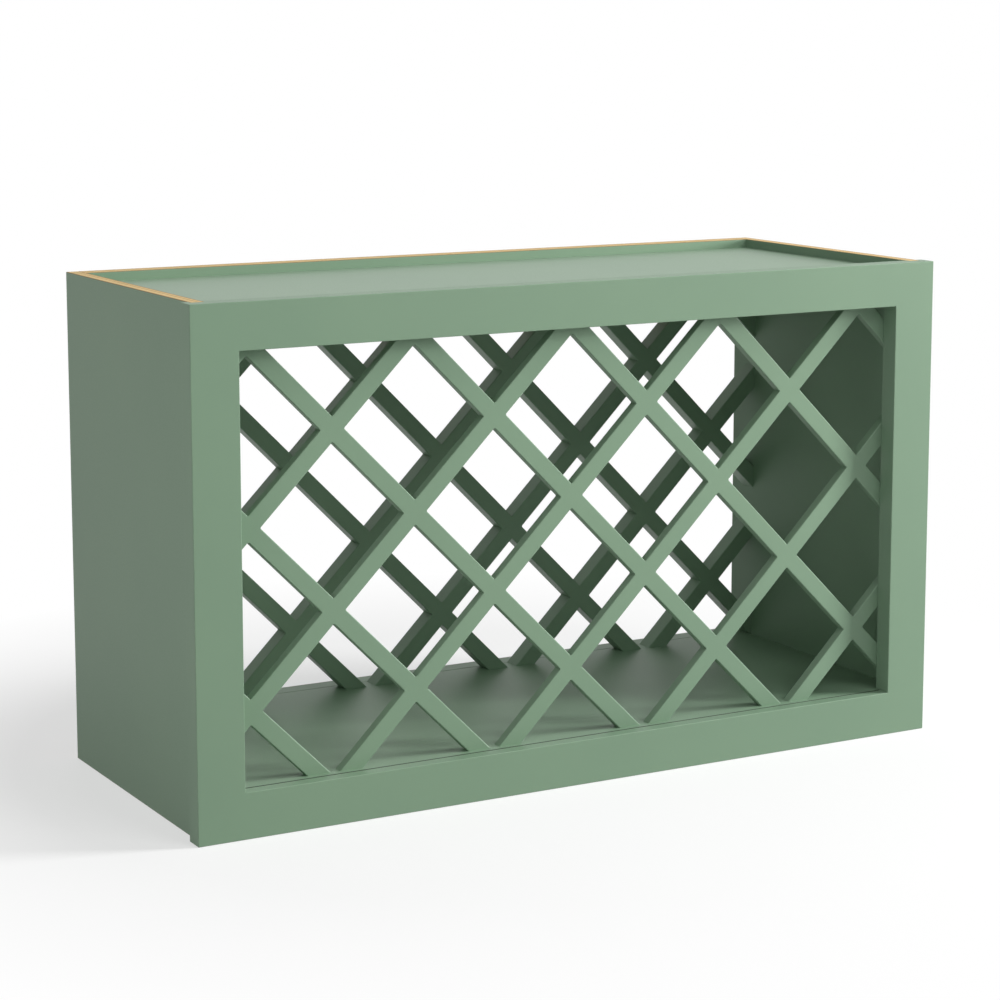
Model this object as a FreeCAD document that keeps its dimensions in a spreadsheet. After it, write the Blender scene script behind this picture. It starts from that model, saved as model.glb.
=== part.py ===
import FreeCAD, Part
import math
import os

# Wine rack cabinet: a face frame, a plywood box behind it and two half-lapped bottle lattices.
# It stands on Z = 0, its front faces -Y, and it is centred on X and Y. Lengths are millimetres.

# Driving dimensions, one sheet row each
SIZES = {
    "cabinet_width": 762.0,
    "cabinet_height": 457.2,
    "cabinet_depth": 304.8,
    "frame_thickness": 19.05,
    "stile_width": 43.5,
    "rail_width": 41.0,
    "frame_overhang": 6.35,
    "frame_groove_depth": 6.35,
    "side_thickness": 12.7,
    "side_groove_depth": 6.35,
    "panel_thickness": 12.7,
    "top_recess": 8.5,
    "back_rail_thickness": 19.05,
    "hanging_rail_height": 63.5,
    "slat_width": 15.875,
    "front_slat_thickness": 9.525,
    "rear_slat_thickness": 19.05,
    "dowel_diameter": 8.0,
    "dowel_chamfer": 0.8,
    "dowel_clearance": 0.1,
    "dowel_end_room": 1.0,
    "frame_dowel_length": 36.0,
    "frame_dowel_spacing": 20.0,
    "back_dowel_length": 28.0,
    "side_dowel_depth": 8.0,
    "hanging_dowel_spacing": 32.0,
    "base_dowel_spacing": 20.0,
    "cut_overrun": 5.0,
}

# Layout of the lattices: a diamond cell as shares of the bay's width and height, and the place of one
# crossing as shares of a cell, to the right of the bay's middle and above its floor
LATTICE_SHARES = {
    "cell_width_share": 0.21826,
    "cell_height_share": 0.4,
    "cross_x_share": -0.0462,
    "cross_z_share": 1.401,
}

# Planes and lengths that follow from the driving dimensions
PLACES = {
    "front": "-Sizes.cabinet_depth / 2",
    "back": "Sizes.cabinet_depth / 2",
    "frame_back": "front + Sizes.frame_thickness",
    "groove_floor": "frame_back - Sizes.frame_groove_depth",
    "rail_front": "back - Sizes.back_rail_thickness",
    "frame_edge": "Sizes.cabinet_width / 2",
    "opening_edge": "frame_edge - Sizes.stile_width",
    "side_outer": "frame_edge - Sizes.frame_overhang",
    "side_inner": "side_outer - Sizes.side_thickness",
    "panel_edge": "side_inner + Sizes.side_groove_depth",
    "panel_depth": "rail_front - groove_floor",
    "floor_top": "Sizes.rail_width",
    "floor_bottom": "floor_top - Sizes.panel_thickness",
    "ceiling_top": "Sizes.cabinet_height - Sizes.top_recess",
    "ceiling_bottom": "ceiling_top - Sizes.panel_thickness",
    "bay_width": "2 * side_inner",
    "bay_height": "ceiling_bottom - floor_top",
    "cell_width": "bay_width * Sizes.cell_width_share",
    "cell_height": "bay_height * Sizes.cell_height_share",
    "cross_x": "cell_width * Sizes.cross_x_share",
    "cross_z": "floor_top + cell_height * Sizes.cross_z_share",
    "rear_lattice_front": "rail_front - Sizes.rear_slat_thickness",
    "slat_angle": "atan(cell_height / cell_width)",
    "blank_length": "2 * (bay_width + bay_height)",
    "blank_run": "blank_length * cos(slat_angle) / 2",
    "blank_rise": "blank_length * sin(slat_angle) / 2",
    "band_run": "Sizes.slat_width * sin(slat_angle) / 2",
    "band_rise": "Sizes.slat_width * cos(slat_angle) / 2",
    "frame_dowel_y": "(front + groove_floor) / 2",
    "back_dowel_y": "(rail_front + back) / 2",
    "dowel_radius": "Sizes.dowel_diameter / 2",
    "hole_radius": "dowel_radius + Sizes.dowel_clearance",
    "frame_dowel_start": "opening_edge - Sizes.frame_dowel_length / 2",
    "back_dowel_start": "side_inner + Sizes.side_dowel_depth - Sizes.back_dowel_length",
}

Y_AXIS = FreeCAD.Vector(0, 1, 0)
QUARTER_TURN = 90

doc = FreeCAD.newDocument("wine_rack_cabinet")
nodes = []


def add_sheet(name, cells):
    """Add a spreadsheet with one aliased cell for each entry."""
    sheet = doc.addObject("Spreadsheet::Sheet", name)
    for row, (alias, text) in enumerate(cells.items(), start=1):
        sheet.set(f"A{row}", alias)
        sheet.set(f"B{row}", text)
        sheet.setAlias(f"B{row}", alias)
        doc.recompute()
    return sheet


driving = {**SIZES, **LATTICE_SHARES}
sizes = add_sheet("Sizes", {alias: str(value) for alias, value in driving.items()})
places = add_sheet("Places", {alias: "=" + formula for alias, formula in PLACES.items()})


def bind(feature, bindings):
    """Tie each property of a feature to a formula of the sheets' cells."""
    for path, formula in bindings.items():
        feature.setExpression(path, formula)


def bind_base(feature, x, y, z):
    """Tie the place of a feature's own origin to three formulas."""
    bind(feature, {"Placement.Base.x": x, "Placement.Base.y": y, "Placement.Base.z": z})


def block(name, length, width, height, x, y, z):
    """A box of length, width and height along X, Y and Z, with its lowest corner at x, y, z."""
    box = doc.addObject("Part::Box", name)
    bind(box, {"Length": length, "Width": width, "Height": height})
    bind_base(box, x, y, z)
    return box


def cut(name, base, tools):
    """Take each tool away from the base in turn."""
    for number, tool in enumerate(tools, start=1):
        step = doc.addObject("Part::Cut", f"{name}_cut_{number}")
        step.Base = base
        step.Tool = tool
        base = step
    return base


def group(name, members):
    """Gather separate solids in one object."""
    compound = doc.addObject("Part::Compound", name)
    compound.Links = members
    return compound


def node(name, feature):
    """Name a finished sub-part."""
    feature.Label = name
    nodes.append(feature)


# Dowels lie along X across the joint that they hold
def rod(name, radius, length, x, y, z):
    """A round bar along X that starts at x."""
    bar = doc.addObject("Part::Cylinder", name)
    bar.Placement = FreeCAD.Placement(FreeCAD.Vector(), FreeCAD.Rotation(Y_AXIS, QUARTER_TURN))
    bind(bar, {"Radius": radius, "Height": length})
    bind_base(bar, x, y, z)
    return bar


def dowel(name, length, x, y, z):
    """A wooden dowel with chamfered ends."""
    bar = rod(f"{name}_bar", "Places.dowel_radius", length, x, y, z)
    doc.recompute()
    chamfer = doc.addObject("Part::Chamfer", name)
    chamfer.Base = bar
    rims = [i for i, edge in enumerate(bar.Shape.Edges, start=1) if isinstance(edge.Curve, Part.Circle)]
    chamfer.Edges = [(i, sizes.dowel_chamfer, sizes.dowel_chamfer) for i in rims]
    return chamfer


def dowel_joints(name, length, start, y, heights):
    """Dowels at both ends of the rails, and the holes that take them.

    start is where a right-hand dowel begins. A left-hand one is its mirror image.
    """
    begins = {"right": start, "left": f"-({start}) - {length}"}
    dowels = []
    holes = []
    for side, x in begins.items():
        for number, z in enumerate(heights, start=1):
            tag = f"{name}_{side}_{number}"
            dowels.append(dowel(tag, length, x, y, z))
            hole_start = f"{x} - Sizes.dowel_end_room"
            hole_length = f"{length} + 2 * Sizes.dowel_end_room"
            holes.append(rod(f"{tag}_hole", "Places.hole_radius", hole_length, hole_start, y, z))
    node(name, group(f"{name}_group", dowels))
    return group(f"{name}_holes", holes)


def pair_about(middle, spacing):
    """Two heights, one each side of a middle height."""
    return [f"{middle} - {spacing} / 2", f"{middle} + {spacing} / 2"]


bottom_rail_middle = "Sizes.rail_width / 2"
top_rail_middle = "Sizes.cabinet_height - Sizes.rail_width / 2"
hanging_rail_middle = "Sizes.cabinet_height - Sizes.hanging_rail_height / 2"
frame_dowel_heights = (
    pair_about(bottom_rail_middle, "Sizes.frame_dowel_spacing")
    + pair_about(top_rail_middle, "Sizes.frame_dowel_spacing")
)
back_dowel_heights = (
    pair_about(bottom_rail_middle, "Sizes.base_dowel_spacing")
    + pair_about(hanging_rail_middle, "Sizes.hanging_dowel_spacing")
)
frame_holes = dowel_joints(
    "frame_dowels",
    "Sizes.frame_dowel_length",
    "Places.frame_dowel_start",
    "Places.frame_dowel_y",
    frame_dowel_heights,
)
back_holes = dowel_joints(
    "back_rail_dowels",
    "Sizes.back_dowel_length",
    "Places.back_dowel_start",
    "Places.back_dowel_y",
    back_dowel_heights,
)


# The top and bottom panels run into grooves in the sides and in the face frame
def flat_panel(name, z):
    """A level panel between the face frame's grooves and the rear rails."""
    return block(
        name,
        "2 * Places.panel_edge",
        "Places.panel_depth",
        "Sizes.panel_thickness",
        "-Places.panel_edge",
        "Places.groove_floor",
        z,
    )


top_panel = flat_panel("top_board", "Places.ceiling_bottom")
bottom_panel = flat_panel("bottom_board", "Places.floor_bottom")
node("top_panel", top_panel)
node("bottom_panel", bottom_panel)


# Each side panel is grooved for the two level panels, and its front edge sits in a stile's groove
def upright(name, thickness, depth, x, y):
    """A board that stands the full height of the cabinet."""
    return block(name, thickness, depth, "Sizes.cabinet_height", x, y, "0")


side_corners = {"left": "-Places.side_outer", "right": "Places.side_inner"}
side_depth = "Places.back - Places.groove_floor"
side_boards = {
    side: upright(f"{side}_side_board", "Sizes.side_thickness", side_depth, x, "Places.groove_floor")
    for side, x in side_corners.items()
}
for side, board in side_boards.items():
    node(f"{side}_side_panel", cut(f"{side}_side", board, [top_panel, bottom_panel, back_holes]))


# Face frame: stiles run the full height, and the rails fit between them
def cross_member(name, thickness, height, edge, y, z):
    """A level board that spans from one edge to its mirror image."""
    return block(name, f"2 * {edge}", thickness, height, f"-{edge}", y, z)


stile_corners = {"left": "-Places.frame_edge", "right": "Places.opening_edge"}
for side, x in stile_corners.items():
    board = upright(f"{side}_stile_board", "Sizes.stile_width", "Sizes.frame_thickness", x, "Places.front")
    tools = [side_boards[side], top_panel, bottom_panel, frame_holes]
    node(f"{side}_stile", cut(f"{side}_stile", board, tools))

frame_rails = {
    "top_rail": ("Sizes.cabinet_height - Sizes.rail_width", top_panel),
    "bottom_rail": ("0", bottom_panel),
}
for name, (z, panel) in frame_rails.items():
    board = cross_member(
        f"{name}_board",
        "Sizes.frame_thickness",
        "Sizes.rail_width",
        "Places.opening_edge",
        "Places.front",
        z,
    )
    node(name, cut(name, board, [panel, frame_holes]))

# Rear rails fit between the sides
back_rails = {
    "hanging_rail": ("Sizes.hanging_rail_height", "Sizes.cabinet_height - Sizes.hanging_rail_height"),
    "base_rail": ("Places.floor_top", "0"),
}
for name, (height, z) in back_rails.items():
    board = cross_member(
        f"{name}_board",
        "Sizes.back_rail_thickness",
        height,
        "Places.side_inner",
        "Places.rail_front",
        z,
    )
    node(name, cut(name, board, [back_holes]))


# Lattices: slats cross on a diamond grid, and every crossing is a half lap with flush faces
def slat_steps(cross_sign):
    """Grid steps whose slats cross the bay, counted from the slat through the named crossing.

    cross_sign is -1 for rising slats and +1 for falling ones. Along Z a slat stands one cell above
    the one before it. A slat that would only clip a corner is left out.
    """
    slope = places.cell_height / places.cell_width
    crossing = places.cross_z + cross_sign * slope * places.cross_x
    corner_room = sizes.slat_width * math.hypot(1, slope)
    lowest = places.floor_top - slope * places.side_inner + corner_room
    highest = places.ceiling_bottom + slope * places.side_inner - corner_room
    first = math.ceil((lowest - crossing) / places.cell_height)
    last = math.floor((highest - crossing) / places.cell_height)
    steps = range(first, last + 1)
    return steps if cross_sign > 0 else reversed(steps)


def slat_band(name, direction, step, y, thickness):
    """A straight bar, longer than the bay, centred on one line of the grid."""
    bar = doc.addObject("Part::Box", name)
    turn = places.slat_angle.Value if direction == "falling" else -places.slat_angle.Value
    bar.Placement = FreeCAD.Placement(FreeCAD.Vector(), FreeCAD.Rotation(Y_AXIS, turn))
    bind(bar, {"Length": "Places.blank_length", "Width": thickness, "Height": "Sizes.slat_width"})
    shift_x = f"({step}) * Places.cell_width / 2"
    shift_z = f"({step}) * Places.cell_height / 2"
    if direction == "falling":
        x = f"Places.cross_x + {shift_x} - Places.blank_run - Places.band_run"
        z = f"Places.cross_z + {shift_z} + Places.blank_rise - Places.band_rise"
    else:
        x = f"Places.cross_x - {shift_x} - Places.blank_run + Places.band_run"
        z = f"Places.cross_z + {shift_z} - Places.blank_rise - Places.band_rise"
    bind_base(bar, x, y, z)
    return bar


def lattice(name, front, thickness):
    """The slats of one lattice, cut to the bay and lapped into each other.

    Rising slats keep their front half at a crossing, and falling slats their rear half.
    """
    middle = f"{front} + {thickness} / 2"
    lap_depth = f"{thickness} / 2 + Sizes.cut_overrun"
    lap_places = {"rising": f"{front} - Sizes.cut_overrun", "falling": middle}
    steps = {"rising": list(slat_steps(-1)), "falling": list(slat_steps(1))}
    laps = {}
    for direction, lap_y in lap_places.items():
        bands = [
            slat_band(f"{name}_{direction}_lap_{number}", direction, step, lap_y, lap_depth)
            for number, step in enumerate(steps[direction], start=1)
        ]
        laps[direction] = group(f"{name}_{direction}_laps", bands)
    bay = block(
        f"{name}_bay",
        "Places.bay_width",
        thickness,
        "Places.bay_height",
        "-Places.side_inner",
        front,
        "Places.floor_top",
    )
    for direction, other in {"rising": "falling", "falling": "rising"}.items():
        for number, step in enumerate(steps[direction], start=1):
            tag = f"{name}_{direction}_slat_{number}"
            fitted = doc.addObject("Part::Common", f"{tag}_fitted")
            fitted.Base = slat_band(f"{tag}_band", direction, step, front, thickness)
            fitted.Tool = bay
            node(tag, cut(tag, fitted, [laps[other]]))


lattice("front", "Places.frame_back", "Sizes.front_slat_thickness")
lattice("rear", "Places.rear_lattice_front", "Sizes.rear_slat_thickness")

doc.recompute()

failed = [item.Name for item in doc.Objects if {"Invalid", "Error"} & set(item.State)]
if failed:
    raise RuntimeError(f"objects that did not compute: {failed}")
for part in nodes:
    if part.Shape.isNull() or not part.Shape.isValid() or not part.Shape.Solids:
        raise RuntimeError(f"{part.Label} has no sound shape")

os.makedirs("parts", exist_ok=True)
for part in nodes:
    part.Shape.exportStep(f"parts/{part.Label}.step")
    print(f"{part.Label}: {len(part.Shape.Solids)} solids, {part.Shape.Volume:.0f} mm3")
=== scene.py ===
"""Looks of a wine rack cabinet: eased boards, half-lapped lattices, satin paint and raw plywood edges.

Every board and slat is an outline carried along a straight line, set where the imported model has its
solid, and dressed in a finish of its own. Lengths are in metres.
"""

import logging
import math
from dataclasses import dataclass, field
from enum import Enum

import bmesh
import bpy
import numpy as np
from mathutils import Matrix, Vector


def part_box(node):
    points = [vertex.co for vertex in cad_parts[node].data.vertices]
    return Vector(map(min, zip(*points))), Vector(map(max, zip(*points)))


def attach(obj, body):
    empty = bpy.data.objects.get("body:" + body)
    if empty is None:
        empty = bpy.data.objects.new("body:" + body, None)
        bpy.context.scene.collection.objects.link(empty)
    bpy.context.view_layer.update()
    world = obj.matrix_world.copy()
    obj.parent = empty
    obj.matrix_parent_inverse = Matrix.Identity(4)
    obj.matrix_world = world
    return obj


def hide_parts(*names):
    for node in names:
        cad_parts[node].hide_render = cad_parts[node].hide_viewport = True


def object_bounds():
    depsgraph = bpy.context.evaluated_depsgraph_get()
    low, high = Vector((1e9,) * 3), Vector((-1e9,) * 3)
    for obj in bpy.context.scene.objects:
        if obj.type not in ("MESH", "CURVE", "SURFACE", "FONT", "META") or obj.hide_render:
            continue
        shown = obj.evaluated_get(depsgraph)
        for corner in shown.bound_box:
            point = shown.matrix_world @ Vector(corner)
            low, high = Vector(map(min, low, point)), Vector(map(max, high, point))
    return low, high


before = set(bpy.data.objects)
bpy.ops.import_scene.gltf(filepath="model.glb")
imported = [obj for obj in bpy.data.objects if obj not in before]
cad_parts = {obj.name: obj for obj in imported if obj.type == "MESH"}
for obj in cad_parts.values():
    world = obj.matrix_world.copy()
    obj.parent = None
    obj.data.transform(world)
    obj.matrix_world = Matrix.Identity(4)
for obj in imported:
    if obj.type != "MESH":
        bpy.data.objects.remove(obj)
CAD_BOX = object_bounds()

LOG = logging.getLogger("wine_rack_cabinet")
BODY = "root"
MM = 0.001
ARC_POINTS = 5
QUARTER_TURN = math.pi / 2
WELD = 0.001 * MM
ARRIS_ATTRIBUTE = "arris"

BYTE_MAX = 255
SRGB_KNEE = 0.04045
SRGB_SLOPE = 12.92
SRGB_OFFSET = 0.055
SRGB_POWER = 2.4

Colour = tuple[float, float, float, float]
Range = tuple[float, float]
Inputs = dict[str | int, object]

WHITE: Colour = (1.0, 1.0, 1.0, 1.0)
NONE_TO_ALL: Range = (0.0, 1.0)
ALL_TO_NONE: Range = (1.0, 0.0)


class Axis(Enum):
    """A direction of the cabinet, by the index of its coordinate."""

    ACROSS = 0
    DEPTH = 1
    HEIGHT = 2


class Side(Enum):
    """A side of the cabinet as seen from the front, by the sign of its places across."""

    LEFT = -1
    RIGHT = 1

    @property
    def word(self) -> str:
        """The side as node names have it."""
        return self.name.lower()


class Lean(Enum):
    """Which way a slat leans, by the sign of its slope seen from the front."""

    RISING = 1
    FALLING = -1

    @property
    def word(self) -> str:
        """The lean as node names have it."""
        return self.name.lower()


class Layer(Enum):
    """Which of the two lattices a slat belongs to."""

    FRONT = "front"
    REAR = "rear"


@dataclass(frozen=True)
class Block:
    """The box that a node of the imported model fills."""

    low: np.ndarray
    high: np.ndarray

    @classmethod
    def of(cls, node: str) -> "Block":
        """The box of a node, by its name."""
        low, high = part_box(node)
        return cls(np.array(low), np.array(high))

    def span(self, axis: Axis) -> Range:
        """The lowest and highest place along an axis."""
        return float(self.low[axis.value]), float(self.high[axis.value])


@dataclass
class Run:
    """Outlines of a board at places along its length, each with the easing radius of every corner.

    A radius below zero eases a corner that meets another board, and marks it for a painted shade line along
    the joint.
    """

    axis: Axis
    places: list[float] = field(default_factory=list)
    outlines: list[np.ndarray] = field(default_factory=list)
    radii: list[np.ndarray] = field(default_factory=list)

    def add(self, place: float, outline: np.ndarray, radii: np.ndarray) -> None:
        """Adds one outline.

        Args:
            place: where it lies along the run.
            outline: its corners, (corners, 2).
            radii: easing radius of each corner.
        """
        self.places.append(place)
        self.outlines.append(outline)
        self.radii.append(radii)

    def add_end(
        self, place: float, inward: int, outline: np.ndarray, radii: np.ndarray, arris: float,
        open_sides: np.ndarray,
    ) -> None:
        """Adds the outlines of an end whose arris is eased.

        At angle t of a quarter turn the outline lies arris (1 - cos t) inside the end and is drawn in by
        arris (1 - sin t) on its open sides, and the corner radii shrink by as much.

        Args:
            place: where the end face lies along the run.
            inward: 1 if the board goes on towards higher places, -1 towards lower ones.
            outline: corners of the full outline, (corners, 2).
            radii: easing radius of each corner.
            arris: radius of the end's arris.
            open_sides: 1 for each open side and 0 for a joined one, as ((low, low), (high, high)).
        """
        turn = np.linspace(0.0, QUARTER_TURN, ARC_POINTS)[::inward]
        low, high = outline.min(axis=0), outline.max(axis=0)
        for angle in turn:
            drawn_in = arris * (1 - math.sin(angle))
            inside = place + inward * arris * (1 - math.cos(angle))
            kept = np.clip(outline, low + drawn_in * open_sides[0], high - drawn_in * open_sides[1])
            self.add(inside, kept, np.maximum(radii - drawn_in, 0.0))

    def piece(self, name: str) -> bpy.types.Object:
        """Makes the board as a closed mesh.

        Args:
            name: the piece's name.

        Returns:
            The new object, with its place in its mesh.
        """
        rings, arris = ease_corners(np.array(self.outlines), np.array(self.radii))
        along = np.broadcast_to(np.array(self.places)[:, None], rings.shape[:2])
        points = np.insert(rings, self.axis.value, along, axis=2)
        return join_rings(name, points, arris)


def unit_steps(starts: np.ndarray, ends: np.ndarray) -> np.ndarray:
    """Unit vectors from points to other points.

    Args:
        starts: points, (outlines, corners, 2).
        ends: as many other points.

    Returns:
        Each difference divided by its length, or zero where the two points coincide.
    """
    step = ends - starts
    length = np.linalg.norm(step, axis=2, keepdims=True)
    return np.divide(step, length, out=np.zeros_like(step), where=length > WELD)


def ease_corners(outlines: np.ndarray, radii: np.ndarray) -> tuple[np.ndarray, np.ndarray]:
    """Rounds the square corners of closed outlines.

    With unit vectors p and n from a corner towards the corners before and after it, the arc of radius r
    has its centre at corner + r (p + n), and its point at angle t of a quarter turn is
    centre - r (n cos t + p sin t). Its arris weight is sin 2t, which is 1 at the middle of the arc, or
    -sin 2t where the radius is given below zero.

    Args:
        outlines: corners, (outlines, corners, 2).
        radii: radius of each corner, (outlines, corners).

    Returns:
        The rounded rings, (outlines, points, 2), and the arris weight of each point.
    """
    before = unit_steps(outlines, np.roll(outlines, 1, axis=1))[:, :, None]
    after = unit_steps(outlines, np.roll(outlines, -1, axis=1))[:, :, None]
    angle = np.linspace(0.0, QUARTER_TURN, ARC_POINTS)[:, None]
    radius = np.abs(radii)[:, :, None, None]
    centre = outlines[:, :, None] + radius * (before + after)
    points = centre - radius * (after * np.cos(angle) + before * np.sin(angle))
    # The weight makes the paint's paler arrises (part wear, part painted highlight) and, below zero, its
    # painted shade in joints.
    weight = np.sin(2 * angle[:, 0]) * np.sign(radii)[:, :, None]
    count = len(outlines)
    return points.reshape(count, -1, 2), weight.reshape(count, -1)


def join_rings(name: str, rings: np.ndarray, arris: np.ndarray) -> bpy.types.Object:
    """Makes a closed mesh from rings of points.

    Point j of ring i is joined with point j + 1 and with ring i + 1 into four-sided faces, and one flat
    face closes each end. Points that coincide are welded, so a corner with no radius is one point.

    Args:
        name: the piece's name.
        rings: points, (rings, points, 3).
        arris: arris weight of each point, (rings, points).

    Returns:
        The new object, linked to the scene.
    """
    ring_count, size = rings.shape[:2]
    index = np.arange(ring_count * size).reshape(ring_count, size)
    turned = np.roll(index, -1, axis=1)
    sides = np.stack([index[:-1], turned[:-1], turned[1:], index[1:]], axis=2).reshape(-1, 4)
    faces = [*sides.tolist(), index[0, ::-1].tolist(), index[-1].tolist()]
    mesh = bpy.data.meshes.new(name)
    mesh.from_pydata(rings.reshape(-1, 3), [], faces)
    weights = mesh.attributes.new(ARRIS_ATTRIBUTE, "FLOAT", "POINT")
    weights.data.foreach_set("value", arris.astype(np.float32).ravel())
    work = bmesh.new()
    work.from_mesh(mesh)
    bmesh.ops.remove_doubles(work, verts=work.verts, dist=WELD)
    bmesh.ops.dissolve_degenerate(work, edges=work.edges, dist=WELD)
    bmesh.ops.recalc_face_normals(work, faces=work.faces)
    work.to_mesh(mesh)
    work.free()
    return link(bpy.data.objects.new(name, mesh))


def link(thing: bpy.types.Object) -> bpy.types.Object:
    """Adds a new object to the scene."""
    bpy.context.scene.collection.objects.link(thing)
    return thing


def face_normals(piece: bpy.types.Object) -> np.ndarray:
    """Reads which way the faces of a piece point.

    Args:
        piece: the piece.

    Returns:
        The unit normal of each face, (faces, 3).
    """
    normals = np.empty(len(piece.data.polygons) * 3, np.float32)
    piece.data.polygons.foreach_get("normal", normals)
    return normals.reshape(-1, 3)


def place(piece: bpy.types.Object, node: str, slot: str) -> bpy.types.Object:
    """Puts a piece in the place of a node.

    Args:
        piece: the finished piece.
        node: the node that it stands for.
        slot: the material slot that its finish belongs to; not used.

    Returns:
        The same piece.
    """
    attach(piece, BODY)
    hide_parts(node)
    LOG.info("%s stands for %s: %d faces", piece.name, node, len(piece.data.polygons))
    return piece


@dataclass(frozen=True)
class Noise:
    """A noise pattern, by its fineness per metre and its layers of detail."""

    scale: float
    detail: float


@dataclass
class Graph:
    """A node tree, with one call that adds a node, sets it and joins it up."""

    tree: bpy.types.NodeTree

    @classmethod
    def of_material(cls, name: str) -> tuple["Graph", bpy.types.Material]:
        """Makes a new material.

        Args:
            name: the material's name.

        Returns:
            Its emptied tree and the material.
        """
        material = bpy.data.materials.new(name)
        material.use_nodes = True
        material.node_tree.nodes.clear()
        return cls(material.node_tree), material

    def add(self, kind: str, inputs: Inputs | None = None, **settings: object) -> bpy.types.Node:
        """Adds a node.

        Args:
            kind: the node's type, without its prefix.
            inputs: a value, or the socket to join, for inputs by name or index.
            settings: the node's own properties.

        Returns:
            The new node.
        """
        node = self.tree.nodes.new("ShaderNode" + kind)
        for key, value in settings.items():
            setattr(node, key, value)
        for key, value in (inputs or {}).items():
            self.fill(node.inputs[key], value)
        return node

    def fill(self, socket: bpy.types.NodeSocket, value: object) -> None:
        """Gives an input its value, or joins it to the socket that it comes from.

        Args:
            socket: the input.
            value: a plain value or another node's output.
        """
        if isinstance(value, bpy.types.NodeSocket):
            self.tree.links.new(value, socket)
        else:
            socket.default_value = value

    def noise(self, where: bpy.types.NodeSocket, pattern: Noise) -> bpy.types.NodeSocket:
        """A noise pattern at some coordinates, around one half."""
        inputs = {"Vector": where, "Scale": pattern.scale, "Detail": pattern.detail}
        return self.add("TexNoise", inputs).outputs["Fac"]

    def product(self, first: bpy.types.NodeSocket, second: bpy.types.NodeSocket) -> bpy.types.NodeSocket:
        """The product of two values, kept between 0 and 1."""
        return self.add("Math", {0: first, 1: second}, operation="MULTIPLY", use_clamp=True).outputs[0]

    def blend(self, share: bpy.types.NodeSocket, first: object, second: object) -> bpy.types.NodeSocket:
        """Mixes two colours.

        Args:
            share: how much of the second colour there is, from 0 to 1.
            first: a colour or a socket.
            second: a colour or a socket.

        Returns:
            The mixed colour.
        """
        node = self.add("Mix", {"Factor": share}, data_type="RGBA")
        for socket, value in zip([s for s in node.inputs if s.type == "RGBA"], (first, second)):
            self.fill(socket, value)
        return next(s for s in node.outputs if s.type == "RGBA")

    def largest(self, *values: bpy.types.NodeSocket) -> bpy.types.NodeSocket:
        """Finds the largest of some values.

        Args:
            values: the values.

        Returns:
            The largest.
        """
        most = values[0]
        for value in values[1:]:
            most = self.add("Math", {0: most, 1: value}, operation="MAXIMUM").outputs[0]
        return most

    def rescale(self, value: bpy.types.NodeSocket, source: Range, target: Range) -> bpy.types.NodeSocket:
        """Carries a value from one range to another, and keeps it inside it.

        Args:
            value: the value.
            source: the range that it comes from.
            target: the range that it goes to.

        Returns:
            The new value.
        """
        ends = {"From Min": source[0], "From Max": source[1], "To Min": target[0], "To Max": target[1]}
        return self.add("MapRange", {"Value": value, **ends}, clamp=True).outputs["Result"]


def linear(red: int, green: int, blue: int) -> Colour:
    """Finds the linear colour of an sRGB one, by the curve that the sRGB standard gives.

    Args:
        red: red, from 0 to 255.
        green: green, likewise.
        blue: blue, likewise.

    Returns:
        The linear colour, opaque.
    """
    share = np.array([red, green, blue]) / BYTE_MAX
    curve = ((share + SRGB_OFFSET) / (1 + SRGB_OFFSET)) ** SRGB_POWER
    light = np.where(share <= SRGB_KNEE, share / SRGB_SLOPE, curve)
    return (*(float(value) for value in light), 1.0)


@dataclass(frozen=True)
class SatinPaint:
    """Sprayed satin paint: fine orange peel, a faint drift of tone, arrises paler from wear and a painted
    highlight, and painted shade along joint lines.
    """

    name: str
    specular: float = 0.25
    roughness: Range = (0.40, 0.50)
    colour: Colour = linear(124, 150, 125)
    drift_colour: Colour = linear(121, 147, 123)
    rubbed_colour: Colour = linear(133, 158, 134)
    joint_colour: Colour = linear(52, 64, 53)
    joint_weights: Range = (-0.5, 0.0)
    drift: Noise = Noise(5.0, 3.0)
    drift_range: Range = (0.35, 0.65)
    rub: Noise = Noise(60.0, 4.0)
    rub_range: Range = (0.4, 0.7)
    rub_shares: Range = (0.2, 0.8)
    peel: Noise = Noise(900.0, 2.0)
    peel_range: Range = (0.3, 0.7)
    peel_height: float = 0.02 * MM
    peel_strength: float = 0.5

    def material(self) -> bpy.types.Material:
        """Makes the paint.

        Returns:
            A material whose colour, roughness and bump come from noise on Object coordinates and from the
            arris weight.
        """
        graph, material = Graph.of_material(self.name)
        where = graph.add("TexCoord").outputs["Object"]
        peel = graph.noise(where, self.peel)
        weight = graph.add("Attribute", attribute_name=ARRIS_ATTRIBUTE).outputs["Fac"]
        tone = graph.rescale(graph.noise(where, self.drift), self.drift_range, NONE_TO_ALL)
        body = graph.blend(tone, self.colour, self.drift_colour)
        rub = graph.rescale(graph.noise(where, self.rub), self.rub_range, self.rub_shares)
        # Paler arrises: part paint wear, part painted highlight along the middle of each arris.
        worn_and_highlit = graph.blend(graph.product(weight, rub), body, self.rubbed_colour)
        # Painted shade in the joint's V-groove, darkest at the middle of the arc.
        joint_shade = graph.rescale(weight, self.joint_weights, ALL_TO_NONE)
        bump_inputs = {"Strength": self.peel_strength, "Distance": self.peel_height, "Height": peel}
        bump = graph.add("Bump", bump_inputs)
        shader = graph.add("BsdfPrincipled", {
            "Base Color": graph.blend(joint_shade, worn_and_highlit, self.joint_colour),
            "Roughness": graph.rescale(peel, self.peel_range, self.roughness),
            "Specular IOR Level": self.specular,
            "Normal": bump.outputs["Normal"],
        })
        graph.add("OutputMaterial", {"Surface": shader.outputs[0]})
        return material


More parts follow.
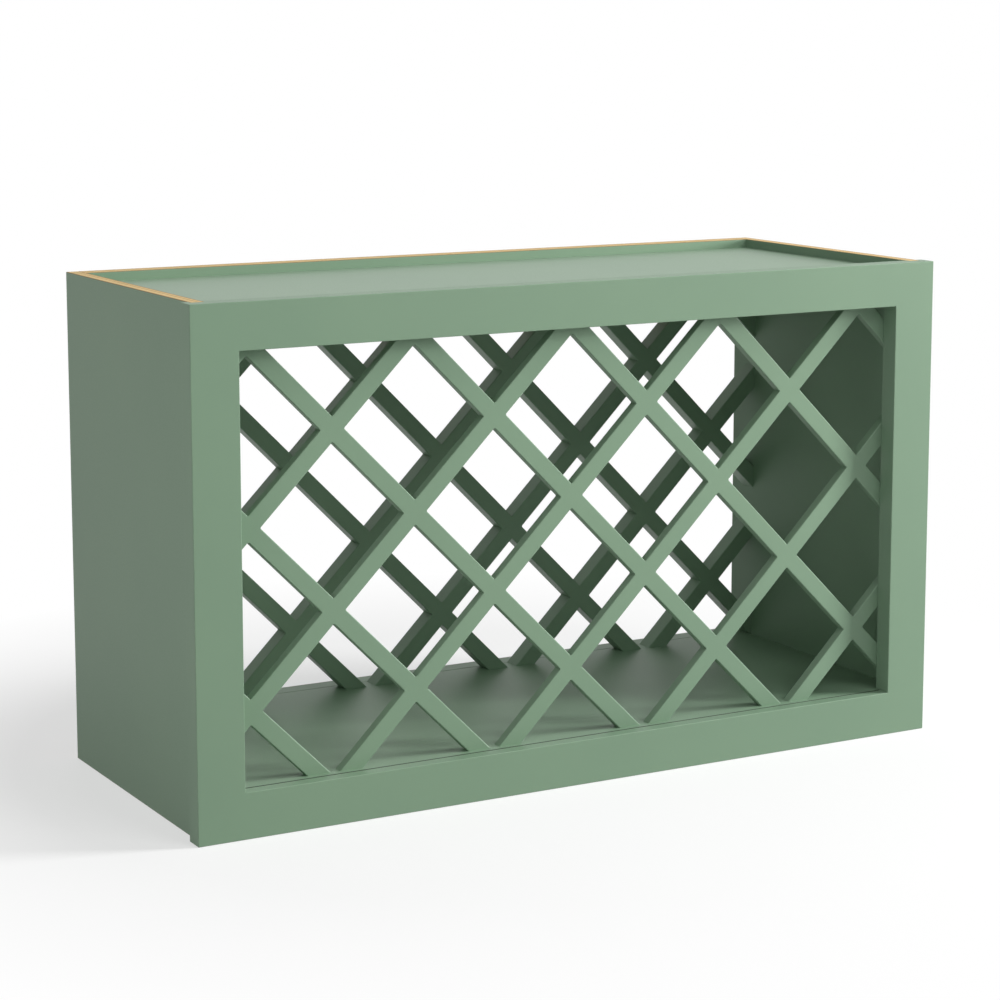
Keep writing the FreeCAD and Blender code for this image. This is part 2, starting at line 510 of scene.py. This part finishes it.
@dataclass(frozen=True)
class PlywoodEdge:
    """The raw cut edge of plywood: pale core plies between darker face veneers, parted by a cross ply.

    Attributes:
        name: the material's name.
        axis: the direction of the board's thickness.
        faces: where the board's two faces lie along it.
        ply_shares: where the stripes of plies() lie, as shares of the thickness.
        waver_reach: how far the stripes stray.
        grain_along: how much the grain is stretched along the plies.
        grain_across: and how much across them.
        grain_shares: how much of the veneer's colour the grain brings in.
    """

    name: str
    axis: Axis
    faces: Range
    veneer_colour: Colour = linear(126, 96, 52)
    core_colour: Colour = linear(234, 203, 142)
    cross_colour: Colour = linear(172, 130, 74)
    ply_shares: tuple[float, ...] = (0.0, 0.05, 0.10, 0.52, 0.58, 0.66, 0.80, 0.92)
    waver: Noise = Noise(30.0, 2.0)
    waver_reach: Range = (-0.25 * MM, 0.25 * MM)
    grain: Noise = Noise(8.0, 5.0)
    grain_along: float = 4.0
    grain_across: float = 500.0
    grain_range: Range = (0.3, 0.7)
    grain_shares: Range = (0.0, 0.35)
    grain_height: float = 0.1 * MM
    grain_strength: float = 0.6
    roughness_range: Range = (0.2, 0.8)
    roughness: Range = (0.6, 0.8)

    def material(self) -> bpy.types.Material:
        """Makes the edge.

        Returns:
            A material whose plies are stripes across the board's thickness, broken up by wood grain.
        """
        graph, material = Graph.of_material(self.name)
        where = graph.add("TexCoord").outputs["Object"]
        across = graph.add("SeparateXYZ", {"Vector": where}).outputs[self.axis.value]
        stray = graph.rescale(graph.noise(where, self.waver), NONE_TO_ALL, self.waver_reach)
        wandering = graph.add("Math", {0: across, 1: stray}, operation="ADD").outputs[0]
        plies = graph.add("ValToRGB", {"Fac": graph.rescale(wandering, self.faces, NONE_TO_ALL)})
        self.lay_plies(plies.color_ramp)
        stretch = np.full(3, self.grain_along)
        stretch[self.axis.value] = self.grain_across
        mapped = graph.add("Mapping", {"Vector": where, "Scale": stretch}).outputs[0]
        grain = graph.noise(mapped, self.grain)
        shade = graph.rescale(grain, self.grain_range, self.grain_shares)
        bump_inputs = {"Strength": self.grain_strength, "Distance": self.grain_height, "Height": grain}
        bump = graph.add("Bump", bump_inputs)
        shader = graph.add("BsdfPrincipled", {
            "Base Color": graph.blend(shade, plies.outputs["Color"], self.veneer_colour),
            "Roughness": graph.rescale(grain, self.roughness_range, self.roughness),
            "Normal": bump.outputs["Normal"],
        })
        graph.add("OutputMaterial", {"Surface": shader.outputs[0]})
        return material

    def plies(self) -> tuple[Colour, ...]:
        """The colours of the stripes, from one face of the board to the other."""
        veneer, core, cross = self.veneer_colour, self.core_colour, self.cross_colour
        return veneer, veneer, core, core, cross, core, core, cross

    def lay_plies(self, ramp: bpy.types.ColorRamp) -> None:
        """Sets the stripes of a ramp.

        Args:
            ramp: the ramp across the board's thickness.
        """
        while len(ramp.elements) < len(self.ply_shares):
            ramp.elements.new(1.0)
        for element, share, colour in zip(ramp.elements, self.ply_shares, self.plies()):
            element.position = share
            element.color = colour


@dataclass(frozen=True)
class DowelWood:
    """Bare turned hardwood, with streaks along the dowel."""

    name: str
    pale: Colour = linear(214, 180, 130)
    dark: Colour = linear(184, 144, 94)
    streaks: Noise = Noise(2.0, 4.0)
    streak_stretch: tuple[float, float, float] = (20.0, 600.0, 600.0)
    streak_height: float = 0.1 * MM
    streak_strength: float = 0.5
    roughness_range: Range = (0.2, 0.8)
    roughness: Range = (0.5, 0.7)

    def material(self) -> bpy.types.Material:
        """Makes the wood.

        Returns:
            A material whose streaks run across the cabinet, as the dowels do.
        """
        graph, material = Graph.of_material(self.name)
        where = graph.add("TexCoord").outputs["Object"]
        mapped = graph.add("Mapping", {"Vector": where, "Scale": self.streak_stretch}).outputs[0]
        streaks = graph.noise(mapped, self.streaks)
        bump_inputs = {"Strength": self.streak_strength, "Distance": self.streak_height, "Height": streaks}
        bump = graph.add("Bump", bump_inputs)
        shader = graph.add("BsdfPrincipled", {
            "Base Color": graph.blend(streaks, self.pale, self.dark),
            "Roughness": graph.rescale(streaks, self.roughness_range, self.roughness),
            "Normal": bump.outputs["Normal"],
        })
        graph.add("OutputMaterial", {"Surface": shader.outputs[0]})
        return material


@dataclass
class FaceFrame:
    """The front frame: two stiles with the rails between them, grooved behind for the cabinet's panels."""

    arris: float = 0.6 * MM
    joint_arris: float = 1.2 * MM
    fade: float = 1.0 * MM
    slot: str = "frame_paint"
    top_rail: Block = field(init=False)
    bottom_rail: Block = field(init=False)
    top_panel: Block = field(init=False)
    bottom_panel: Block = field(init=False)
    front: float = field(init=False)
    back: float = field(init=False)
    groove_floor: float = field(init=False)
    opening: Range = field(init=False)

    def __post_init__(self) -> None:
        """Reads the frame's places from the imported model."""
        self.top_rail = Block.of("top_rail")
        self.bottom_rail = Block.of("bottom_rail")
        self.top_panel = Block.of("top_panel")
        self.bottom_panel = Block.of("bottom_panel")
        self.front, self.back = self.top_rail.span(Axis.DEPTH)
        self.groove_floor = self.top_panel.span(Axis.DEPTH)[0]
        self.opening = (self.bottom_rail.span(Axis.HEIGHT)[1], self.top_rail.span(Axis.HEIGHT)[0])

    def stile(self, side: Side) -> bpy.types.Object:
        """Makes an upright of the frame.

        Its outline, from above, has the groove for the side panel. The arris towards the opening is eased
        between the rails alone, so that the frame's face runs through at the joints.

        Args:
            side: the side of the cabinet.

        Returns:
            The stile's piece.
        """
        node = f"{side.word}_stile"
        block = Block.of(node)
        inner, outer = sorted(block.span(Axis.ACROSS), key=abs)
        groove_in, groove_out = sorted(Block.of(f"{side.word}_side_panel").span(Axis.ACROSS), key=abs)
        outline = np.array([
            (outer, self.front), (inner, self.front), (inner, self.back), (groove_in, self.back),
            (groove_in, self.groove_floor), (groove_out, self.groove_floor), (groove_out, self.back),
            (outer, self.back),
        ])
        eased = self.arris * np.array([1, 1, 1, 0, 0, 0, 0, 1])
        joined = self.arris * np.array([1, 0, 0, 0, 0, 0, 0, 1])
        bottom, top = block.span(Axis.HEIGHT)
        open_sides = np.array([(side is Side.LEFT, True), (side is Side.RIGHT, True)], float)
        run = Run(Axis.HEIGHT)
        run.add_end(bottom, 1, outline, joined, self.arris, open_sides)
        run.add(self.opening[0], outline, joined)
        run.add(self.opening[0] + self.fade, outline, eased)
        run.add(self.opening[1] - self.fade, outline, eased)
        run.add(self.opening[1], outline, joined)
        run.add_end(top, -1, outline, joined, self.arris, open_sides)
        return place(run.piece(f"{node}_board"), node, self.slot)

    def rail(self, node: str, outline: np.ndarray, radii: np.ndarray) -> bpy.types.Object:
        """Makes a rail by carrying its outline from stile to stile.

        Args:
            node: the rail's node.
            outline: its corners seen from the side, (corners, 2).
            radii: easing radius of each corner.

        Returns:
            The rail's piece.
        """
        run = Run(Axis.ACROSS)
        for end in Block.of(node).span(Axis.ACROSS):
            run.add(end, outline, radii)
        return place(run.piece(f"{node}_board"), node, self.slot)

    def head(self) -> bpy.types.Object:
        """Makes the top rail.

        Returns:
            Its piece, whose outline has a groove behind for the top panel.
        """
        low, high = self.top_rail.span(Axis.HEIGHT)
        groove_low, groove_high = self.top_panel.span(Axis.HEIGHT)
        outline = np.array([
            (self.front, low), (self.front, high), (self.back, high), (self.back, groove_high),
            (self.groove_floor, groove_high), (self.groove_floor, groove_low), (self.back, groove_low),
            (self.back, low),
        ])
        return self.rail("top_rail", outline, self.arris * np.array([1, 1, 1, 0, 0, 0, 0, 1]))

    def sill(self) -> bpy.types.Object:
        """Makes the bottom rail.

        Returns:
            Its piece, rebated at its top so that the bottom panel lies flush with it.
        """
        low, high = self.bottom_rail.span(Axis.HEIGHT)
        rebate = self.bottom_panel.span(Axis.HEIGHT)[0]
        outline = np.array([
            (self.front, low), (self.front, high), (self.groove_floor, high), (self.groove_floor, rebate),
            (self.back, rebate), (self.back, low),
        ])
        # The minus sign marks the joint arris, which the paint darkens as painted shade.
        radii = np.array([self.arris, self.arris, -self.joint_arris, 0, 0, self.arris])
        return self.rail("bottom_rail", outline, radii)

    def build(self) -> list[bpy.types.Object]:
        """Makes the four boards."""
        return [*(self.stile(side) for side in Side), self.head(), self.sill()]

    def dress(self, boards: list[bpy.types.Object]) -> None:
        """Paints the boards.

        Args:
            boards: the frame's pieces.
        """
        paint = SatinPaint("frame_satin_paint").material()
        for board in boards:
            board.data.materials.append(paint)


@dataclass
class Carcass:
    """The box behind the frame: two sides, the level panels between them and two rails across the back.

    Attributes:
        arris: easing of the boards' edges.
        joint_arris: easing of the bottom panel where it meets the sill and the base rail, whose groove gets
            painted shade.
        top_specular: how strongly the top panel, which has a glossier coat, reflects.
        broad_facing: how squarely a face looks along a board's thickness to count as one of its broad faces.
    """

    arris: float = 0.5 * MM
    joint_arris: float = 1.2 * MM
    top_specular: float = 0.6
    broad_facing: float = 0.98
    slot: str = "panel_paint"
    top_panel: Block = field(init=False)
    bottom_panel: Block = field(init=False)
    panel_back: float = field(init=False)

    def __post_init__(self) -> None:
        """Reads the panels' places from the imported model."""
        self.top_panel = Block.of("top_panel")
        self.bottom_panel = Block.of("bottom_panel")
        self.panel_back = self.top_panel.span(Axis.DEPTH)[1]

    def side_outline(self, side: Side, depth: float) -> np.ndarray:
        """Draws a side panel from the front, with a groove for each level panel.

        Args:
            side: the side of the cabinet.
            depth: the place across that the grooves are cut to.

        Returns:
            The outline's corners, (corners, 2).
        """
        block = Block.of(f"{side.word}_side_panel")
        inner, outer = sorted(block.span(Axis.ACROSS), key=abs)
        bottom, top = block.span(Axis.HEIGHT)
        low_groove, high_groove = (panel.span(Axis.HEIGHT) for panel in (self.bottom_panel, self.top_panel))
        return np.array([
            (outer, bottom), (outer, top), (inner, top), (inner, high_groove[1]), (depth, high_groove[1]),
            (depth, high_groove[0]), (inner, high_groove[0]), (inner, low_groove[1]),
            (depth, low_groove[1]), (depth, low_groove[0]), (inner, low_groove[0]), (inner, bottom),
        ])

    def side(self, side: Side) -> bpy.types.Object:
        """Makes a side panel, whose grooves stop where the level panels end.

        Args:
            side: the side of the cabinet.

        Returns:
            The side panel's piece.
        """
        node = f"{side.word}_side_panel"
        block = Block.of(node)
        grooved = self.side_outline(side, self.top_panel.span(Axis.ACROSS)[side is Side.RIGHT])
        plain = self.side_outline(side, min(block.span(Axis.ACROSS), key=abs))
        radii = self.arris * np.array([1, 1, 1, 0, 0, 0, 0, 0, 0, 0, 0, 1])
        front, back = block.span(Axis.DEPTH)
        run = Run(Axis.DEPTH)
        run.add(front, grooved, radii)
        run.add(self.panel_back, grooved, radii)
        run.add(self.panel_back, plain, radii)
        run.add_end(back, -1, plain, radii, self.arris, np.ones((2, 2)))
        return place(run.piece(f"{node}_board"), node, self.slot)

    def level_board(self, node: str, radii: np.ndarray) -> bpy.types.Object:
        """Makes a board that runs from side to side.

        Args:
            node: the board's node.
            radii: easing of its front bottom, front top, back top and back bottom arrises.

        Returns:
            The board's piece.
        """
        block = Block.of(node)
        (front, back), (bottom, top) = block.span(Axis.DEPTH), block.span(Axis.HEIGHT)
        outline = np.array([(front, bottom), (front, top), (back, top), (back, bottom)])
        run = Run(Axis.ACROSS)
        for end in block.span(Axis.ACROSS):
            run.add(end, outline, radii)
        return place(run.piece(f"{node}_board"), node, self.slot)

    def build(self) -> dict[str, bpy.types.Object]:
        """Makes the six boards.

        Returns:
            The boards' pieces, by node.
        """
        all_round = self.arris * np.ones(4)
        # The minus signs mark the joint arrises, which the paint darkens as painted shade.
        joints_up = -self.joint_arris * np.array([0, 1, 1, 0])
        return {
            **{f"{side.word}_side_panel": self.side(side) for side in Side},
            "top_panel": self.level_board("top_panel", np.zeros(4)),
            "bottom_panel": self.level_board("bottom_panel", joints_up),
            "hanging_rail": self.level_board("hanging_rail", all_round),
            "base_rail": self.level_board("base_rail", all_round),
        }

    def dress(self, boards: dict[str, bpy.types.Object]) -> None:
        """Paints the boards and leaves the cut edges of sides and hanging rail as raw plywood.

        Args:
            boards: the boards' pieces, by node.
        """
        paint = SatinPaint("panel_satin_paint").material()
        top_paint = SatinPaint("top_panel_satin_paint", specular=self.top_specular).material()
        for node, board in boards.items():
            board.data.materials.append(top_paint if node == "top_panel" else paint)
        for side in Side:
            self.bare_edges(boards, f"{side.word}_side_panel", f"{side.word}_side_ply_edge", Axis.ACROSS)
        self.bare_edges(boards, "hanging_rail", "hanging_rail_ply_edge", Axis.DEPTH)

    def bare_edges(self, boards: dict[str, bpy.types.Object], node: str, finish: str, axis: Axis) -> None:
        """Gives all but the two broad faces of a board a raw plywood edge.

        Args:
            boards: the boards' pieces, by node.
            node: the board's node.
            finish: the name of the edge's material.
            axis: the direction of the board's thickness.
        """
        board = boards[node]
        board.data.materials.append(PlywoodEdge(finish, axis, Block.of(node).span(axis)).material())
        bare = np.abs(face_normals(board)[:, axis.value]) < self.broad_facing
        board.data.polygons.foreach_set("material_index", bare.astype(np.int32))


@dataclass
class Lattice:
    """A diagonal lattice of slats, half lapped where they cross."""

    layer: Layer
    arris: float = 0.9 * MM
    fade: float = 1.0 * MM
    slats_each_way: int = 7
    slot: str = "lattice_paint"
    steepness: float = field(init=False)
    front: float = field(init=False)
    back: float = field(init=False)
    middle: float = field(init=False)
    walls: Range = field(init=False)
    floor: float = field(init=False)
    ceiling: float = field(init=False)

    def __post_init__(self) -> None:
        """Reads the lattice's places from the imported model.

        The last rising slat leans into a corner, so its box is as high for its width as the slats are steep.
        """
        corner_slat = Block.of(self.node(Lean.RISING, self.slats_each_way))
        reach = corner_slat.high - corner_slat.low
        self.steepness = math.atan2(reach[Axis.HEIGHT.value], reach[Axis.ACROSS.value])
        self.front, self.back = corner_slat.span(Axis.DEPTH)
        self.middle = (self.front + self.back) / 2
        self.walls = (Block.of("left_side_panel").span(Axis.ACROSS)[1],
                      Block.of("right_side_panel").span(Axis.ACROSS)[0])
        self.floor = Block.of("bottom_panel").span(Axis.HEIGHT)[1]
        self.ceiling = Block.of("top_panel").span(Axis.HEIGHT)[0]

    def numbers(self) -> range:
        """The numbers of the slats of one lean, from the left."""
        return range(1, self.slats_each_way + 1)

    def node(self, lean: Lean, number: int) -> str:
        """The name of a slat's node, numbered from the left."""
        return f"{self.layer.value}_{lean.word}_slat_{number}"

    def directions(self, lean: Lean) -> tuple[np.ndarray, np.ndarray]:
        """Unit vectors along and across a slat, seen from the front."""
        along = np.array([math.cos(self.steepness), lean.value * math.sin(self.steepness)])
        return along, np.array([-along[1], along[0]])

    def line(self, lean: Lean, number: int) -> Range:
        """Measures a slat's node across the slat's own direction.

        Args:
            lean: the slat's lean.
            number: its number from the left.

        Returns:
            The place of its middle line, and its width.
        """
        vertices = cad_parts[self.node(lean, number)].data.vertices
        points = np.empty(len(vertices) * 3, np.float32)
        vertices.foreach_get("co", points)
        seen = points.reshape(-1, 3)[:, [Axis.ACROSS.value, Axis.HEIGHT.value]]
        places = seen @ self.directions(lean)[1]
        return float(places.min() + places.max()) / 2, float(np.ptp(places))

    def crossings(self, lean: Lean, middle: float) -> np.ndarray:
        """Places along a slat where the slats of the other lean cross it inside the bay.

        A point s along this slat is at s a + m c, with a and c its directions and m its middle line. It
        lies on the other slat where its place across that slat's direction is that slat's middle line.

        Args:
            lean: the slat's lean.
            middle: the place of its middle line.

        Returns:
            The places of the crossings, in order.
        """
        other = Lean(-lean.value)
        along, across = self.directions(lean)
        other_across = self.directions(other)[1]
        lines = np.array([self.line(other, number)[0] for number in self.numbers()])
        places = (lines - middle * (across @ other_across)) / (along @ other_across)
        points = places[:, None] * along + middle * across
        inside = (points[:, 0] > self.walls[0]) & (points[:, 0] < self.walls[1])
        inside &= (points[:, 1] > self.floor) & (points[:, 1] < self.ceiling)
        return np.sort(places[inside])

    def ends(self, lean: Lean, places_across: np.ndarray) -> tuple[np.ndarray, np.ndarray]:
        """Where lines along a slat enter and leave the bay.

        A line at place q across the slat meets the wall x = w at s = (w - q c_x) / a_x, and the floor or
        ceiling z = h at s = (h - q c_z) / a_z. It enters at the later of its two entries.

        Args:
            lean: the slat's lean.
            places_across: the lines' places across the slat's direction.

        Returns:
            The entries and the exits, as places along the slat.
        """
        along, across = self.directions(lean)
        sides = [(w - places_across * across[0]) / along[0] for w in self.walls]
        levels = [(h - places_across * across[1]) / along[1] for h in (self.floor, self.ceiling)]
        met_in_order = levels if lean is Lean.RISING else levels[::-1]
        return np.maximum(sides[0], met_in_order[0]), np.minimum(sides[1], met_in_order[1])

    def lapped_run(self, lean: Lean, number: int) -> Run:
        """Draws a slat's outlines along its length.

        An outline has six corners: two in front, two half way back and two behind. At a crossing the
        rising slat keeps its front half and the falling one its rear half, and the easing fades out just
        before, so the faces meet flush.

        Args:
            lean: the slat's lean.
            number: its number from the left.

        Returns:
            The run of outlines, in places along and across the slat.
        """
        middle, width = self.line(lean, number)
        half = width / 2
        low, high = middle - half, middle + half
        whole = np.array([(low, self.front), (high, self.front), (high, self.middle), (high, self.back),
                          (low, self.back), (low, self.middle)])
        front_corners, rear_corners = [0, 1], [3, 4]
        lapped = whole.copy()
        lapped[rear_corners if lean is Lean.RISING else front_corners, 1] = self.middle
        eased = self.arris * np.array([1, 1, 0, 1, 1, 0])
        square = np.zeros(len(eased))
        entry, leaving = self.ends(lean, np.array([middle]))
        run = Run(Axis.ACROSS)
        run.add(float(entry[0]), whole, eased)
        for crossing in self.crossings(lean, middle):
            start, stop = crossing - half, crossing + half
            run.add(start - self.fade, whole, eased)
            run.add(start, whole, square)
            run.add(start, lapped, square)
            run.add(stop, lapped, square)
            run.add(stop, whole, square)
            run.add(stop + self.fade, whole, eased)
        run.add(float(leaving[0]), whole, eased)
        return run

    def slat(self, lean: Lean, number: int) -> bpy.types.Object:
        """Makes a slat, whose point s along and q across it lies at s a + q c, and cuts its ends to the bay.

        Args:
            lean: the slat's lean.
            number: its number from the left.

        Returns:
            The slat's piece.
        """
        run = self.lapped_run(lean, number)
        rings, arris = ease_corners(np.array(run.outlines), np.array(run.radii))
        along = np.repeat(np.array(run.places)[:, None], rings.shape[1], axis=1)
        along[0] = self.ends(lean, rings[0, :, 0])[0]
        along[-1] = self.ends(lean, rings[-1, :, 0])[1]
        axis_along, axis_across = self.directions(lean)
        seen = along[:, :, None] * axis_along + rings[:, :, :1] * axis_across
        points = np.insert(seen, Axis.DEPTH.value, rings[:, :, 1], axis=2)
        node = self.node(lean, number)
        return place(join_rings(f"{node}_bar", points, arris), node, self.slot)

    def build(self) -> dict[Lean, list[bpy.types.Object]]:
        """Makes all the slats, by lean."""
        return {lean: [self.slat(lean, number) for number in self.numbers()] for lean in Lean}

    def dress(self, slats: dict[Lean, list[bpy.types.Object]]) -> None:
        """Paints the slats.

        Args:
            slats: the slats' pieces, by lean.
        """
        for lean, bars in slats.items():
            paint = SatinPaint(f"{self.layer.value}_{lean.word}_slat_paint").material()
            for bar in bars:
                bar.data.materials.append(paint)


@dataclass
class Dowels:
    """The dowels that pin the frame and the back rails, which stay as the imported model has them."""

    nodes: tuple[str, ...] = ("frame_dowels", "back_rail_dowels")

    def dress(self) -> None:
        """Gives the dowels their bare wood."""
        wood = DowelWood("dowel_bare_wood").material()
        for name in self.nodes:
            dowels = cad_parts[name]
            dowels.data.materials.clear()
            dowels.data.materials.append(wood)
            LOG.info("%s keeps its own shape", name)


@dataclass(frozen=True)
class Lamp:
    """A soft box that faces the cabinet.

    Attributes:
        name: its name.
        turn: how far round it stands from straight in front, towards the right, in degrees.
        rise: how high it stands above the level of its aim, in degrees.
        distance: from its aim.
        size: its width and height.
        level: the share of full white that a white surface facing it shows at the cabinet.
        aim: the place that it faces.
        glare: whether it shows as glare in the satin paint.
    """

    name: str
    turn: float
    rise: float
    distance: float
    size: Range
    level: float
    aim: tuple[float, float, float] = (0.0, 0.0, 0.2)
    glare: bool = True

    def light(self) -> bpy.types.Object:
        """Makes the lamp.

        Returns:
            The lamp, out of the camera's sight.
        """
        data = bpy.data.lights.new(self.name, "AREA")
        data.shape = "RECTANGLE"
        data.size, data.size_y = self.size
        data.energy = self.level * (math.pi * self.distance) ** 2
        lamp = link(bpy.data.objects.new(self.name, data))
        turn, rise = math.radians(self.turn), math.radians(self.rise)
        way = Vector((math.sin(turn) * math.cos(rise), -math.cos(turn) * math.cos(rise), math.sin(rise)))
        lamp.location = Vector(self.aim) + way * self.distance
        lamp.rotation_euler = (-way).to_track_quat("-Z", "Y").to_euler()
        lamp.visible_camera = False
        lamp.visible_glossy = self.glare
        return lamp


@dataclass
class Studio:
    """A white floor, soft light and the photograph's view.

    Attributes:
        floor_half_width: from the floor's middle to its edges.
        floor_drop: how far the floor lies under the cabinet.
        floor_colour: the floor as the eye sees it under full light.
        bounce_colour: the floor as it throws light back on the cabinet.
        near_white: the share of pure white mixed into the floor near the cabinet.
        fade: distances from the floor's middle between which that share grows to all.
        ambient: how bright the surroundings are as light on the cabinet, where 1 is white.
    """

    floor_half_width: float = 12.0
    floor_drop: float = 0.2 * MM
    floor_colour: Colour = linear(248, 248, 248)
    bounce_colour: Colour = linear(190, 190, 190)
    near_white: float = 0.56
    fade: Range = (0.46, 0.78)
    ambient: float = 0.15
    camera_place: tuple[float, float, float] = (-1.2094, -2.1448, 0.6961)
    camera_pitch: float = math.radians(8.42)
    camera_turn: float = math.radians(29.29)
    camera_lens: float = 95.57
    camera_shift: float = -0.1
    lamps: tuple[Lamp, ...] = (
        Lamp("right_high_soft_box", 66.0, 42.0, 4.0, (0.9, 0.9), 0.40),
        Lamp("right_low_soft_box", 66.0, 12.0, 4.0, (0.9, 0.9), 1.02),
        Lamp("front_high_soft_box", 15.0, 42.0, 2.6, (1.2, 1.2), 0.23),
        Lamp("left_soft_box", 290.0, 12.0, 2.1, (1.5, 1.5), 0.22),
        Lamp("overhead_soft_box", 0.0, 89.9, 2.2, (2.2, 2.2), 0.10),
        Lamp("back_low_soft_box", 163.0, 4.0, 3.0, (1.2, 0.6), 0.28, glare=False),
    )

    def floor(self) -> bpy.types.Object:
        """Makes the floor.

        Returns:
            A flat square just under the cabinet.
        """
        half = self.floor_half_width
        points = np.array([(-half, -half), (half, -half), (half, half), (-half, half)])
        level = np.full((len(points), 1), CAD_BOX[0].z - self.floor_drop)
        mesh = bpy.data.meshes.new("studio_floor")
        mesh.from_pydata(np.hstack([points, level]), [], [list(range(len(points)))])
        mesh.materials.append(self.floor_material())
        floor = link(bpy.data.objects.new("studio_floor", mesh))
        return floor

    def floor_material(self) -> bpy.types.Material:
        """Makes the floor's material.

        Returns:
            A pale floor that the eye sees mixed with pure white: in part near the cabinet, where its shadow
            lies, and wholly far from it. It throws back less light than so pale a floor would.
        """
        graph, material = Graph.of_material("studio_floor_white")
        where = graph.add("TexCoord").outputs["Object"]
        distance = graph.add("VectorMath", {0: where}, operation="LENGTH").outputs["Value"]
        share = graph.rescale(distance, self.fade, (self.near_white, 1.0))
        seen = self.seen(graph)
        colour = graph.blend(seen, self.bounce_colour, self.floor_colour)
        matt = graph.add("BsdfDiffuse", {"Color": colour}).outputs[0]
        glow = graph.add("Emission", {"Color": WHITE, "Strength": 1.0}).outputs[0]
        mixed = graph.add("MixShader", {0: graph.product(seen, share), 1: matt, 2: glow})
        graph.add("OutputMaterial", {"Surface": mixed.outputs[0]})
        return material

    def seen(self, graph: Graph) -> bpy.types.NodeSocket:
        """1 for rays from the camera, by reflection or through glass, and 0 for light on its way."""
        path = graph.add("LightPath").outputs
        return graph.largest(path["Is Camera Ray"], path["Is Glossy Ray"], path["Is Transmission Ray"])

    def sky(self) -> None:
        """Makes white surroundings: pure white to the eye, and faint as light on the cabinet."""
        world = bpy.data.worlds.new("studio_surroundings")
        world.use_nodes = True
        world.node_tree.nodes.clear()
        graph = Graph(world.node_tree)
        strength = graph.rescale(self.seen(graph), NONE_TO_ALL, (self.ambient, 1.0))
        white = graph.add("Background", {"Color": WHITE, "Strength": strength})
        graph.add("OutputWorld", {"Surface": white.outputs[0]})
        bpy.context.scene.world = world

    def camera(self) -> bpy.types.Object:
        """Makes the camera and gives it to the scene.

        Returns:
            The camera, in the photograph's view.
        """
        data = bpy.data.cameras.new("photo_view")
        data.lens = self.camera_lens
        data.shift_y = self.camera_shift
        camera = link(bpy.data.objects.new("photo_view", data))
        camera.location = self.camera_place
        camera.rotation_euler = (QUARTER_TURN - self.camera_pitch, 0.0, -self.camera_turn)
        bpy.context.scene.camera = camera
        return camera

    def build(self) -> None:
        """Sets up the floor, light and camera."""
        self.floor()
        self.sky()
        for lamp in self.lamps:
            lamp.light()
        self.camera()
        bpy.context.scene.view_settings.view_transform = "Standard"


def main() -> None:
    """Builds and dresses the cabinet, then the studio round it."""
    logging.basicConfig(level=logging.INFO, format="%(name)s: %(message)s")
    face_frame = FaceFrame()
    face_frame.dress(face_frame.build())
    carcass = Carcass()
    carcass.dress(carcass.build())
    for layer in Layer:
        lattice = Lattice(layer)
        lattice.dress(lattice.build())
    Dowels().dress()
    Studio().build()


if __name__ == "__main__":
    main()
